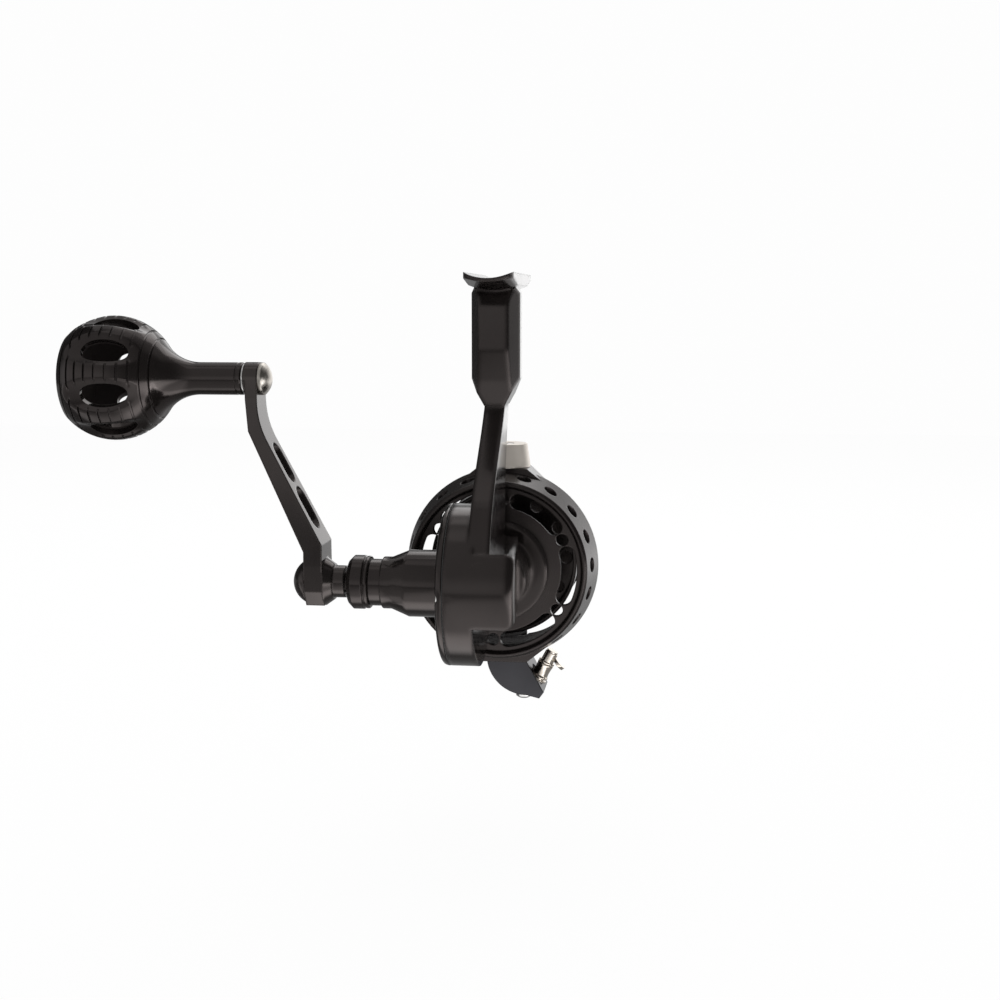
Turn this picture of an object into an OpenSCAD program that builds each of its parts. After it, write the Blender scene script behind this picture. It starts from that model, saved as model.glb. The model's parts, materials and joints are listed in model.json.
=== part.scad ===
// Open-face spinning reel with a manual pick-up, as an assembly of separate pieces.
// Pieces are drawn about the crossing of the spool axis (Y, forward) and the handle axis (X),
// then moved so that the origin is the middle of the foot's saddle, where the rod lies.

/* [Foot and stem] */
// Height of the foot's saddle above the spool axis
foot_height = 97; // [96:0.5:99]
// Distance of the foot's middle in front of the handle axis
foot_mid = 29; // [28.5:0.5:29.5]
// Length of the foot
foot_len = 62; // [58:1:66]
// Width of the foot
foot_w = 16; // [15:0.5:17]
// Radius of the saddle
saddle_r = 17; // [16:0.5:20]
// Thickness of the foot at its toes
toe_t = 1.1; // [1:0.1:2]
// Thickness of the stem
stem_w = 6.6; // [6:0.1:7]
// Width of the pedestal between stem and foot
pedestal_w = 16; // [15:0.5:17]

/* [Gear case] */
// Radius of the round gear case
case_r = 26; // [25.8:0.1:26.4]
// Wall between the drive gear and the rim of the case
case_wall = 3.6; // [3.4:0.1:3.7]
// Reach of the tail to the right of the spool axis
tail_right = 11.2; // [11:0.1:12]
// Reach of the tail above the spool axis
tail_top = 13.5; // [13.5:0.1:14.5]
// Reach of the tail below the spool axis
tail_bottom = 9.5; // [9.5:0.1:10.5]

/* [Handle] */
// Distance from the handle axis to the knob axis
crank_r = 65.3; // [64.3:0.2:66.3]
// Thickness of the handle arm
arm_t = 6; // [5.6:0.1:6.2]
// Width of the arm at its foot
arm_w_low = 14; // [13.6:0.2:15]
// Width of the arm at its eye
arm_w_high = 10.6; // [10:0.2:11]

/* [Knob] */
// Radius of the ball
ball_r = 20.1; // [19.6:0.1:20.6]
// Thickness of the ball's shell
ball_shell = 3.7; // [3.5:0.1:4]
// Number of slots around the ball
ball_slots = 8; // [7:1:8]
// Length of one slot
slot_len = 14.8; // [14:0.2:15.2]
// Width of one slot
slot_w = 8; // [7:0.2:8]
// Radius of the stalk
stalk_r = 5.2; // [5.1:0.05:5.4]

/* [Rotor] */
// Radius of the rotor's rear lip
lip_r = 30.3; // [30:0.1:30.6]
// Radius of the rotor's front rim
rim_r = 33.2; // [33:0.1:33.4]
// Number of holes in the rotor's wall
wall_holes = 20; // [16:1:20]
// Number of curved windows in the rotor's rear plate
windows = 6; // [5:1:6]
// Turn of the rotor at rest, anticlockwise from behind
window_turn = -4; // [-10:1:10]

/* [Counterweight] */
// Radius of the counterweight where it sits on the rotor
weight_r = 9.2; // [8.6:0.1:9.4]
// Height of the counterweight
weight_h = 8.1; // [7.6:0.1:8.4]

/* [Line roller] */
// Lean of the roller's axle to the right
roller_lean = 28; // [26:1:30]
// Radius of the roller's groove
roller_r = 2.7; // [2.5:0.05:2.8]
// Radius of the roller's flanges
flange_r = 3.2; // [3.1:0.05:3.3]

/* [Spool] */
// Radius of the spool's skirt
skirt_r = 25.5; // [25.2:0.1:25.8]
// Radius of the spool's front lip
spool_lip_r = 26.2; // [25.6:0.1:26.4]
// Radius of the bare arbor
arbor_r = 17.2; // [17:0.1:19]
// Radius of the drag knob
drag_knob_r = 13.6; // [13:0.1:14]

/* [Hidden] */
$fn = 96;

black = [0.08, 0.08, 0.085];
slate = [0.24, 0.23, 0.27];
champagne = [0.78, 0.72, 0.65];
steel = [0.72, 0.72, 0.74];
bronze = [0.62, 0.48, 0.28];
nylon = [0.85, 0.83, 0.78];
rubber = [0.12, 0.12, 0.12];
carbon = [0.2, 0.2, 0.21];

// Radial room in a running fit, and the overshoot that keeps cuts clean
run = 0.06;
over = 1;

// Stations along the handle axis
case_right = -1.8;
case_left = -10.6;
plate_in = -10.9;
plate_out = -13.2;
screw_seat = -11.9;
inner_seat = -15.8;
floor_x = -3.8;
gear_back = -10.4;
gear_web = -8.6;
boss_end = -41.2;
cap_start = -37.8;
cap_end = -44.7;
seal_end = -44.1;
outer_seat = -38;
sleeve_end = -46;
hub_end = -49.7;
arm_in = -52.5;
arm_out = arm_in - arm_t;
shaft_end = -57;
screw_top = -63.3;

// Stations along the knob axis
eye_in = -73.1;
eye_out = -77.8;
axle_cap = -69.5;
washer_out = -78.4;
stalk_start = -78.6;
axle_end = -99;
ball_x = -121.4;
end_flat = 14.5;

// Stations along the spool axis
bulkhead_back = 7.5;
bulkhead_front = 12.5;
neck_front = 24.5;
bearing_front = 29.5;
clutch_back = 29.7;
clutch_front = 37.2;
web_back = 39.5;
web_front = 43;
nut_front = 46.6;
plate_back = 27;
plate_front = 29.2;
lip_y = 25;
rim_y = 40;
arm_back = 36;
arm_front = 60;
skirt_back = 43;
spool_web = 57.2;
spool_front = 74;
spool_end = 77.6;
stack_back = 62;
shaft_front = 84;
shaft_back = -13;

// Shared radii
shaft_r = 2.25;
pinion_bore = shaft_r + run;
drive_r = 4;
drive_r_small = 3.5;
stub_r = 3;
journal_r = 4;
rear_journal_r = 2.8;
neck_tube_r = 12.6;
neck_r = 11.5;
flange_plate_r = 17;
cup_in = 13.4;
cup_out = 15.6;
case_in = case_r - case_wall;

// Lower end of the handle arm
arm_low = -7.4;

// Gear sizes: the drive gear's teeth face the pinion from the left
gear_teeth = 41;
pinion_teeth = 10;
drive_module = 1;
take_off_teeth = 14;
worm_teeth = 18;
worm_module = 0.5;
pinion_pitch = pinion_teeth * drive_module / 2;
gear_pitch = gear_teeth * drive_module / 2;
drive_add = 0.7;
drive_ded = 1.1;
gear_in = gear_pitch - 1.9;
gear_out = gear_pitch + 1.4;
take_off_pitch = take_off_teeth * worm_module / 2;
worm_pitch = worm_teeth * worm_module / 2;
worm_add = 0.4;
worm_ded = 0.55;
worm_z = take_off_pitch + worm_pitch;
worm_r = 2;
worm_journal = 1.5;
bush_r = 2.4;

// Rotor arms and the pieces they carry
pad_top = 33.3;
pad_bottom = -34;
pad_half = 8.8;
pad_fall = 0.8;
arm_half = 7.5;
tip_half = 6.5;
arm_in_r = 28;
weight_y = 45;
window_r = 24;
window_w = 5.4;
window_half = 18;
pickup_at = [8, 0, -33.5];
pickup_r = 14;
pickup_back = 43;
pickup_front = 58;
pickup_screw_at = [6.5, 50, 0];
pickup_head_r = 2.8;
pickup_seat = -47.3;
roller_at = [13.1, 50, -39.8];

// Guide rod beside the spool shaft
guide_at = [4.4, 0, -4.8];
guide_r = 1.2;

// Helpers
module along_x() { rotate([0, 90, 0]) children(); }
module along_y() { rotate([-90, 0, 0]) children(); }
module on_knob_axis() { translate([0, 0, crank_r]) along_x() children(); }
module on_worm_axis() { translate([0, 0, worm_z]) along_y() children(); }
module on_roller_axis() { translate(roller_at) rotate([0, roller_lean, 0]) children(); }
module from_foot() { translate([0, -foot_mid, -foot_height]) children(); }

module rod(r, from, to) { translate([0, 0, min(from, to)]) cylinder(r = r, h = abs(to - from)); }

module ring(r_out, r_in, from, to) {
    difference() {
        rod(r_out, from, to);
        rod(r_in, min(from, to) - over, max(from, to) + over);
    }
}

module hex_nut(r, bore, from, to) {
    difference() {
        translate([0, 0, min(from, to)]) cylinder(r = r, h = abs(to - from), $fn = 6);
        rod(bore, min(from, to) - over, max(from, to) + over);
    }
}

// A profile in X and Z, drawn out along Y
module front_profile(from, to) {
    translate([0, to, 0]) rotate([90, 0, 0]) linear_extrude(to - from) children();
}

// A profile in Y and Z, drawn out along X about its middle
module side_profile(w) {
    translate([-w / 2, 0, 0]) rotate([90, 0, 90]) linear_extrude(w) children();
}

// Rectangle from a low to a high corner with round corners
module round_box(low, high, r) {
    w = high.x - low.x;
    h = high.y - low.y;
    translate([low.x + r, low.y]) square([w - 2 * r, h]);
    translate([low.x, low.y + r]) square([w, h - 2 * r]);
    for (x = [low.x + r, high.x - r], y = [low.y + r, high.y - r]) translate([x, y]) circle(r);
}

// A point on a cubic curve
function curve(a, b, c, d, t) =
    pow(1 - t, 3) * a + 3 * t * pow(1 - t, 2) * b + 3 * t * t * (1 - t) * c + pow(t, 3) * d;

function curve_points(a, b, c, d, steps) = [for (i = [0:steps]) curve(a, b, c, d, i / steps)];

// A ring of straight-sided teeth about the spool axis
module teeth(count, root, tip, root_half, tip_half, from, to, first) {
    for (i = [0:count - 1]) {
        rotate([0, -first - i * 360 / count, 0]) front_profile(from, to)
            polygon([[root - 0.3, -root_half], [tip, -tip_half], [tip, tip_half], [root - 0.3, root_half]]);
    }
}

module ball_bearing(r_out, r_in, from, to) {
    groove = (r_out - r_in) * 0.3;
    depth = 0.3;
    middle = (r_out + r_in) / 2;
    difference() {
        ring(r_out, r_in, from, to);
        ring(middle + groove, middle - groove, from - over, from + depth);
        ring(middle + groove, middle - groove, to - depth, to + over);
    }
}

// Body: gear case, tail, neck, stem, pedestal and foot in one piece
module gear_case() { along_x() rod(case_r, case_left, case_right); }

module tail() {
    corner = 3.2;
    left = case_right - 4;
    front = 14;
    draft = 3;
    intersection() {
        front_profile(-case_r - over, front)
            round_box([left - corner, -tail_bottom], [tail_right, tail_top], corner);
        along_x() rotate_extrude() {
            translate([0, left]) square([case_r, tail_right - corner - left]);
            translate([0, left]) square([case_r - corner, tail_right - left]);
            translate([case_r - corner, tail_right - corner]) circle(corner);
        }
        translate([0, 0, -case_r]) linear_extrude(2 * case_r) polygon([
            [left, -case_r - over], [tail_right, -case_r - over], [tail_right, corner - case_r],
            [tail_right - draft, front], [left, front]
        ]);
    }
}

module neck() {
    flange_back = 23;
    flange_front = 26.4;
    hump_r = 6.5;
    left = case_left + 0.2;
    difference() {
        union() {
            along_y() rod(neck_r, 6, neck_front);
            along_y() rod(flange_plate_r, flange_back, flange_front);
            along_y() rod(neck_tube_r, neck_front, clutch_front);
            on_worm_axis() rod(hump_r, 6, 17);
        }
        translate([left - case_r, 0, -case_r]) cube([case_r, flange_front, 2 * case_r]);
    }
}

module stem() {
    steps = 20;
    back = curve_points([-23, 8], [-17, 34], [2, 38], [20, 58], steps);
    front = curve_points([33, 62], [24, 48], [20, 38], [19, 8], steps);
    top = 68;
    side_profile(stem_w) polygon(concat(back, [[22, top], [33, top]], front));
}

module pedestal() {
    half = pedestal_w / 2;
    nose = 4.7;
    start = 14;
    end = 34;
    flare = 7.5;
    low = 56;
    taper_end = 64.8;
    shoulder = 92.6;
    top_half = half - 1.6;
    top = shoulder + 2.4;
    intersection() {
        translate([0, 0, low]) linear_extrude(foot_height - low)
            polygon([
                [-nose, start], [nose, start], [half, start + flare], [half, end - flare],
                [nose, end], [-nose, end], [-half, end - flare], [-half, start + flare]
            ]);
        front_profile(start - over, end + over)
            polygon([
                [-stem_w / 2, low], [stem_w / 2, low], [half, taper_end], [half, shoulder], [top_half, top],
                [top_half, foot_height], [-top_half, foot_height], [-top_half, top], [-half, shoulder],
                [-half, taper_end]
            ]);
        side_profile(pedestal_w + over)
            polygon([
                [start + 3.2, low], [end - 2, low], [end, low + 12], [end, foot_height],
                [start + 7, foot_height], [start + 7, top], [start + 3.5, top - 1.2],
                [start + 1.2, top - 3.4], [start, top - 6.5], [start, low + 18], [start + 1.3, low + 8]
            ]);
    }
}

module foot() {
    back = foot_mid - foot_len / 2;
    front = foot_mid + foot_len / 2;
    ramp = 16;
    thick = 3.6;
    saddle_z = foot_height + saddle_r;
    intersection() {
        translate([0, 0, foot_height - thick - over]) linear_extrude(thick + over + 4)
            round_box([-foot_w / 2, back], [foot_w / 2, front], 5);
        translate([0, 0, saddle_z]) along_y() {
            translate([0, 0, back]) cylinder(r1 = saddle_r + toe_t, r2 = saddle_r + thick, h = ramp);
            rod(saddle_r + thick, back + ramp, front - ramp);
            translate([0, 0, front - ramp])
                cylinder(r1 = saddle_r + thick, r2 = saddle_r + toe_t, h = ramp);
        }
    }
}

module saddle_cut() {
    translate([0, 0, foot_height + saddle_r]) along_y() rod(saddle_r, -foot_len, 2 * foot_len);
}

module tail_hollow() {
    wall = 2.2;
    front_profile(-21.5, bulkhead_back)
        round_box([floor_x - 0.6, wall - tail_bottom], [6.8, tail_top - wall], 1.5);
}

module body_hollows() {
    along_x() rod(case_in, case_left - over, floor_x);
    tail_hollow();
    along_y() rod(pinion_pitch + 1.2, bulkhead_front, neck_front);
    on_worm_axis() rod(worm_pitch + 0.8, bulkhead_front, 16);
    along_y() rod(9.5, neck_front, bearing_front + over);
    along_y() rod(10.5, bearing_front, clutch_front + over);
    saddle_cut();
    screw_ring() rod(0.8, case_left - over, -8);
    clutch_screw_ring() rod(0.6, clutch_front - 4, clutch_front + over);
}

module bulkhead() {
    difference() {
        union() {
            along_y() rod(6.6, bulkhead_back, bulkhead_front);
            on_worm_axis() rod(3.6, bulkhead_back, bulkhead_front);
        }
        bulkhead_bores();
    }
}

module bulkhead_bores() {
    along_y() rod(5, 8.5, bulkhead_front + over);
    along_y() rod(shaft_r + 0.5, bulkhead_back - over, bulkhead_front);
    on_worm_axis() rod(bush_r, 8.5, bulkhead_front + over);
    on_worm_axis() rod(worm_journal + 0.3, bulkhead_back - over, bulkhead_front);
    on_worm_axis() rod(bush_r, -23, -20);
    translate(guide_at) along_y() rod(guide_r, -24, 10);
}

module body() {
    color(black) union() {
        difference() {
            union() {
                gear_case();
                tail();
                neck();
                stem();
                pedestal();
                foot();
            }
            body_hollows();
            bulkhead_bores();
        }
        bulkhead();
    }
}

// Side plate with the long boss that carries the drive shaft
module screw_ring() {
    along_x() for (i = [0:4]) rotate([0, 0, i * 72 + 54]) translate([case_r - 1.9, 0, 0]) children();
}

module side_plate() {
    edge = 1.8;
    bell_r = 10.8;
    waist_r = 8.4;
    bell_end = -25;
    waist = -30.8;
    step = -33.7;
    round_edge = [for (a = [0:15:90]) [case_r - edge + edge * cos(a), plate_out + edge - edge * sin(a)]];
    color(black) difference() {
        along_x() rotate_extrude() polygon(concat([[case_r, plate_in]], round_edge, [
            [bell_r, plate_out], [bell_r, bell_end], [waist_r, waist], [waist_r, step], [7.55, step],
            [7.55, cap_start], [6.9, cap_start], [6.9, boss_end], [5.5, boss_end], [5.5, outer_seat],
            [4.6, outer_seat], [4.6, inner_seat], [8, inner_seat], [8, plate_in]
        ]));
        screw_ring() rod(0.8, plate_in + over, plate_out - over);
        screw_ring() rod(1.5, plate_out - over, screw_seat);
    }
}

module side_plate_gasket() {
    color(rubber) difference() {
        along_x() ring(case_r - 0.05, case_in + 0.1, plate_in, case_left);
        screw_ring() rod(0.8, plate_in - over, case_left + over);
    }
}

module side_plate_screws() {
    color(steel) screw_ring() difference() {
        union() {
            rod(0.8, screw_seat, -8.4);
            rod(1.5, plate_out + 0.5, screw_seat);
        }
        translate([0, 0, plate_out]) cylinder(r = 0.8, h = 0.9, $fn = 6);
    }
}

module boss_cap() {
    r = 8.7;
    groove = -39.2;
    color(black) along_x() rotate_extrude() polygon([
        [6.9, cap_start], [r - 0.5, cap_start], [r - 0.2, cap_start - 0.3], [r - 0.2, groove + 0.3],
        [r - 0.6, groove], [r, groove - 0.5], [r, cap_end + 1.6], [r - 1.6, cap_end], [4.2, cap_end],
        [4.2, seal_end], [5.6, seal_end], [5.6, boss_end], [6.9, boss_end]
    ]);
}

module drive_seal() { color(rubber) along_x() ring(5.6, drive_r_small + run, boss_end, seal_end); }

module drive_bearing_inner() {
    color(steel) along_x() ball_bearing(8, drive_r + run, inner_seat, inner_seat + 4);
}

module drive_bearing_outer() {
    color(steel) along_x() ball_bearing(5.5, drive_r_small + run, boss_end, outer_seat);
}

module pinion_bearing_rear() { color(steel) along_y() ball_bearing(5, rear_journal_r + run, 8.6, 11.6); }

module pinion_bearing_front() {
    color(steel) along_y() ball_bearing(9.5, journal_r + run, neck_front, bearing_front);
}

// One-way clutch
module clutch_screw_ring() {
    along_y() for (i = [0:2]) rotate([0, 0, i * 120 + 30]) translate([11.5, 0, 0]) children();
}

module clutch_housing() {
    rollers = 10;
    color(steel) union() {
        along_y() ring(10.5, 8.2, clutch_back, clutch_front);
        along_y() for (i = [0:rollers - 1]) rotate([0, 0, i * 360 / rollers])
            translate([7.65, 0, 0]) rod(0.9, clutch_back + 0.4, clutch_front - 0.4);
    }
}

module clutch_retainer() {
    color(steel) difference() {
        along_y() ring(neck_tube_r, 7.4, clutch_front, clutch_front + 0.9);
        clutch_screw_ring() rod(0.6, clutch_front - over, clutch_front + 2);
    }
}

module clutch_screws() {
    color(steel) clutch_screw_ring() {
        rod(0.6, clutch_front - 3.6, clutch_front + 1);
        rod(1, clutch_front + 0.9, clutch_front + 1.6);
    }
}

module clutch_sleeve() { color(steel) along_y() ring(6.6, journal_r, clutch_back, web_back); }

// Oscillation: worm shaft, its bushes and the guide rod
module worm_bush_front() {
    color(bronze) on_worm_axis() ring(bush_r, worm_journal + run, 8.5, bulkhead_front);
}

module worm_bush_rear() { color(bronze) on_worm_axis() ring(bush_r, worm_journal + run, -23, -21.6); }

module guide_rod() { color(steel) translate(guide_at) along_y() rod(guide_r, -24, 10); }

module worm_shaft() {
    turns = 6;
    pitch = 3.6;
    groove = 0.8;
    depth = 0.3;
    lean = 20;
    color(steel) difference() {
        on_worm_axis() union() {
            rod(worm_journal, -22.9, 15.6);
            rod(worm_r, -21.3, 7);
        }
        for (i = [0:turns - 1], hand = [-1, 1]) translate([0, i * pitch - 17.4, worm_z])
            rotate([0, 0, hand * lean]) along_y()
                ring(worm_r + over, worm_r - depth, -groove / 2, groove / 2);
    }
}

module worm_gear() {
    color(bronze) difference() {
        translate([0, 0, worm_z]) union() {
            along_y() rod(worm_pitch - worm_ded, 13, 15.4);
            teeth(worm_teeth, worm_pitch - worm_ded, worm_pitch + worm_add, 0.42, 0.2, 13, 15.4,
                -90 + 180 / worm_teeth);
        }
        on_worm_axis() rod(worm_journal, 12, 17);
    }
}

// Drive: shaft, gear and nut
module drive_shaft() {
    shoulder = outer_seat + 0.4;
    color(steel) along_x() difference() {
        union() {
            rod(stub_r, shaft_end, sleeve_end);
            rod(drive_r_small, sleeve_end, shoulder);
            rod(drive_r, shoulder, inner_seat + 4.2);
            rod(5.2, inner_seat + 4.2, gear_back);
            rod(drive_r_small, gear_back, gear_web);
            rod(2.5, gear_web, -6.9);
        }
        rod(1.8, shaft_end - over, -51);
    }
}

module drive_gear() {
    tip = -(pinion_pitch - drive_add);
    root = -(pinion_pitch + drive_ded);
    color(bronze) union() {
        along_x() ring(gear_out, gear_in, gear_back, root);
        along_x() ring(gear_in, drive_r_small, gear_back, gear_web);
        for (i = [0:gear_teeth - 1]) rotate([(i + 0.5) * 360 / gear_teeth, 0, 0])
            front_profile(gear_in + 0.4, gear_out - 0.2)
                polygon([[root - 0.3, -0.95], [root - 0.3, 0.95], [tip, 0.42], [tip, -0.42]]);
    }
}

module gear_nut() { color(steel) along_x() hex_nut(4.6, 2.5, gear_web, -7); }

// Handle
module arm_strip() {
    steps = 8;
    high = crank_r + 8;
    outer = eye_out + 0.8;
    bend = 59;
    right = curve_points([-69.5, 45], [-71.4, 48.5], [eye_in, 53], [eye_in, bend], steps);
    front_profile(-arm_w_low, arm_w_low) polygon(concat(
        [[arm_out, arm_low], [arm_in, arm_low], [arm_in, 12.8]], right,
        [[eye_in, high], [outer, high], [outer, bend], [outer + 0.9, 48.8], [arm_out, 10.4]]
    ));
}

module arm_face() {
    low = arm_w_low / 2;
    high = arm_w_high / 2;
    translate([-100, 0, 0]) rotate([90, 0, 90]) linear_extrude(100) {
        polygon([
            [3.2 - low, arm_low], [low - 3.2, arm_low], [low, arm_low + 5], [low, 6], [high, crank_r - 6],
            [high, crank_r], [-high, crank_r], [-high, crank_r - 6], [-low, 6], [-low, arm_low + 5]
        ]);
        translate([0, crank_r]) circle(high);
    }
}

module arm_slot(z, length, w) {
    half = length / 2 - w / 2;
    along_x() {
        for (end = [-half, half]) translate([-z - end, 0, 0]) rod(w / 2, -100, -40);
        translate([-z - half, -w / 2, -100]) cube([2 * half, w, 60]);
    }
}

module handle_arm() {
    color(black) difference() {
        union() {
            intersection() {
                arm_strip();
                arm_face();
            }
            along_x() translate([0, 0, arm_in]) cylinder(r1 = 7.8, r2 = 5.8, h = hub_end - arm_in);
            along_x() rod(5.2, hub_end - 0.1, sleeve_end);
            on_knob_axis() rod(arm_w_high / 2, eye_out, eye_in);
        }
        along_x() rod(stub_r, shaft_end, sleeve_end + over);
        along_x() rod(1.8, arm_out - over, shaft_end + over);
        arm_slot(24, 13.4, 7.4);
        arm_slot(38.4, 12.6, 6.6);
        on_knob_axis() rod(2.5, eye_out - over, eye_in + over);
    }
}

module handle_screw() {
    head_r = 7.2;
    head_h = arm_out - screw_top;
    dome_r = (head_r * head_r + head_h * head_h) / (2 * head_h);
    color(black) along_x() union() {
        intersection() {
            translate([0, 0, screw_top + dome_r]) sphere(dome_r);
            rod(head_r + over, screw_top - over, arm_out);
        }
        rod(1.8, arm_out - 0.5, -51.2);
    }
}

// Knob and its axle
module knob_axle() {
    cap_r = 5.2;
    band = 1.2;
    cap_h = axle_cap - eye_in - band;
    dome_r = (cap_r * cap_r + cap_h * cap_h) / (2 * cap_h);
    color(steel) on_knob_axis() difference() {
        union() {
            rod(2.5, eye_in + 0.5, axle_end);
            intersection() {
                translate([0, 0, axle_cap - dome_r]) sphere(dome_r);
                rod(cap_r, eye_in, axle_cap + over);
            }
        }
        rod(1.2, axle_end - over, axle_end + 7);
    }
}

module knob_washer() { color(steel) on_knob_axis() ring(5, 2.5, eye_out, washer_out); }

module knob_screw() {
    color(steel) on_knob_axis() difference() {
        union() {
            rod(1.2, axle_end, axle_end + 6.6);
            rod(3.4, axle_end, axle_end - 1.8);
        }
        translate([0, 0, axle_end - 2.4]) cylinder(r = 1.4, h = 1.6, $fn = 6);
    }
}

module knob_profile() {
    blend = 14.7;
    blend_r = stalk_r + blend;
    blend_x = ball_x + sqrt(pow(ball_r + blend - 0.06, 2) - pow(blend_r, 2));
    groove_w = 0.6;
    groove_d = 0.5;
    difference() {
        union() {
            translate([0, ball_x]) circle(ball_r);
            translate([0, ball_x]) square([stalk_r, stalk_start - ball_x]);
            polygon([[0, ball_x], [blend_r, blend_x], [0, blend_x]]);
        }
        translate([blend_r, blend_x]) circle(blend);
        difference() {
            translate([0, ball_x]) circle(ball_r - ball_shell);
            translate([0, ball_x - end_flat - ball_r + 3]) square([ball_r, ball_r]);
        }
        translate([0, axle_end - 4]) square([4, stalk_start - axle_end + 10]);
        for (a = [-37.6, -27.8, 40.8, 50.6])
            translate([ball_r * cos(a) - groove_d, ball_x + ball_r * sin(a) - groove_w / 2])
                square([5, groove_w]);
        translate([0, ball_x - end_flat - ball_r]) square([ball_r, ball_r]);
        translate([-2 * ball_r, ball_x - 2 * ball_r]) square([2 * ball_r, 6 * ball_r]);
    }
}

// A slot through the ball's shell, wider towards the outside
module ball_slot() {
    half = (slot_len - slot_w) / 2;
    flare_from = ball_r - 2.6;
    flare_to = ball_r + 1;
    flare = 2.4;
    w = slot_w / 2;
    for (end = [-half, half]) translate([end, 0, 0]) {
        rod(w, ball_r / 2, flare_to);
        translate([0, 0, flare_from]) cylinder(r1 = w, r2 = w + flare, h = flare_to - flare_from);
    }
    translate([-half, 0, 0]) rotate([90, 0, 90]) linear_extrude(2 * half) polygon([
        [-w, ball_r / 2], [w, ball_r / 2], [w, flare_from], [w + flare, flare_to], [-w - flare, flare_to],
        [-w, flare_from]
    ]);
}

module knob() {
    first_slot = 59.5;
    slot_shift = 2.3;
    color(black) translate([0, 0, crank_r]) difference() {
        along_x() rotate_extrude() knob_profile();
        for (i = [0:ball_slots - 1]) rotate([first_slot + i * 360 / ball_slots, 0, 0])
            translate([ball_x + slot_shift, 0, 0]) ball_slot();
    }
}

module knob_bushings() {
    color(nylon) on_knob_axis() {
        ring(4, 2.5 + run, stalk_start - 0.3, stalk_start - 5);
        ring(4, 2.5 + run, axle_end + 0.6, axle_end + 5);
    }
}

// Pinion on the spool axis
module pinion() {
    root = pinion_pitch - drive_ded;
    take_off_root = take_off_pitch - worm_ded;
    color(steel) difference() {
        union() {
            along_y() {
                rod(rear_journal_r, 8.8, 12.8);
                rod(take_off_root, 12.8, 16.4);
                rod(root, 16.4, 23.6);
                rod(journal_r, 23.6, web_front);
                rod(3.4, web_front, nut_front + 0.3);
            }
            teeth(take_off_teeth, take_off_root, take_off_pitch + worm_add, 0.42, 0.2, 13.1, 15.6, 90);
            teeth(pinion_teeth, root, pinion_pitch + drive_add, 0.85, 0.42, 17.5, 23.2, 0);
        }
        along_y() rod(pinion_bore, 0, 60);
    }
}

// Rotor
module rotor_shell() {
    wall = 2.2;
    along_y() rotate_extrude() polygon([
        [cup_in, plate_back], [lip_r - wall, plate_back], [lip_r - wall, lip_y + 1],
        [lip_r - wall + 0.7, lip_y], [lip_r - 0.8, lip_y], [lip_r, lip_y + 0.9], [rim_r, rim_y],
        [rim_r - wall, rim_y],
        [lip_r - wall + 0.8, plate_front], [cup_out, plate_front], [cup_out, web_front],
        [journal_r, web_front], [journal_r, web_back], [cup_in, web_back]
    ]);
}

// An arm with a flat pad, whose sides fall to the rim
module rotor_arm(pad) {
    up = sign(pad);
    foot_z = 20;
    foot_half = 21.5;
    shoulder_z = abs(pad) - pad_fall * (foot_half - pad_half);
    difference() {
        intersection() {
            front_profile(arm_back, arm_front) polygon([
                [-pad_half, pad], [pad_half, pad], [foot_half, up * shoulder_z], [foot_half, up * foot_z],
                [-foot_half, up * foot_z], [-foot_half, up * shoulder_z]
            ]);
            translate([0, 0, -abs(pad) - over]) linear_extrude(2 * abs(pad) + 2 * over) polygon([
                [-foot_half - over, arm_back - over], [foot_half + over, arm_back - over],
                [foot_half + over, rim_y], [arm_half, 51], [tip_half, arm_front + over],
                [-tip_half, arm_front + over], [-arm_half, 51], [-foot_half - over, rim_y]
            ]);
        }
        along_y() rod(arm_in_r, 20, 70);
    }
}

module rotor_window() {
    for (end = [-window_half, window_half]) rotate([0, -end, 0]) translate([window_r, 0, 0])
        along_y() rod(window_w / 2, plate_back - over, plate_front + over);
    along_y() rotate([0, 0, -window_half]) rotate_extrude(angle = 2 * window_half)
        translate([window_r - window_w / 2, plate_back - over])
            square([window_w, plate_front - plate_back + 2 * over]);
}

module rotor() {
    hole_r = 2.5;
    hole_y = 32;
    hole_turn = 2.7;
    color(black) difference() {
        union() {
            rotor_shell();
            rotor_arm(pad_top);
            rotor_arm(pad_bottom);
        }
        for (i = [0:windows - 1]) rotate([0, -window_turn - i * 360 / windows, 0]) {
            rotor_window();
            rotate([0, -180 / windows, 0]) translate([window_r, 0, 0])
                along_y() rod(2.1, plate_back - over, plate_front + over);
        }
        for (i = [0:wall_holes - 1]) rotate([0, -hole_turn - i * 360 / wall_holes, 0])
            translate([0, hole_y, 0]) along_x() rod(hole_r, lip_r - 4, rim_r + 4);
        translate([0, weight_y, 0]) rod(1.8, 20, pad_top + over);
        translate(pickup_screw_at) rod(1.6, pad_bottom - over, -20);
    }
}

module rotor_nut() { color(steel) along_y() hex_nut(5.8, 3.4, web_front, nut_front); }

module counterweight() {
    color(champagne) translate([0, weight_y, pad_top]) difference() {
        cylinder(r1 = weight_r, r2 = weight_r - 1.2, h = weight_h);
        rod(1.8, -over, weight_h + over);
        rod(3.3, weight_h - 2.4, weight_h + over);
    }
}

module counterweight_screw() {
    color(steel) translate([0, weight_y, 0]) difference() {
        union() {
            rod(1.8, arm_in_r + 0.6, pad_top + weight_h - 2);
            rod(3.2, pad_top + weight_h - 2.4, pad_top + weight_h - 0.2);
        }
        translate([0, 0, pad_top + weight_h - 1.6]) cylinder(r = 1.5, h = 3, $fn = 6);
    }
}

// Pick-up arm with the line roller
module pickup_outline() {
    steps = 24;
    first = asin((pickup_at.z - pad_bottom) / pickup_r);
    arc = [for (i = [0:steps]) first + i * (90 - first) / steps];
    polygon(concat(
        [for (a = arc) [pickup_at.x - pickup_r * cos(a), pickup_at.z - pickup_r * sin(a)]],
        [[12.6, -48.6], [14.2, -46.4], [7.4, pad_bottom]]
    ));
}

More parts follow.
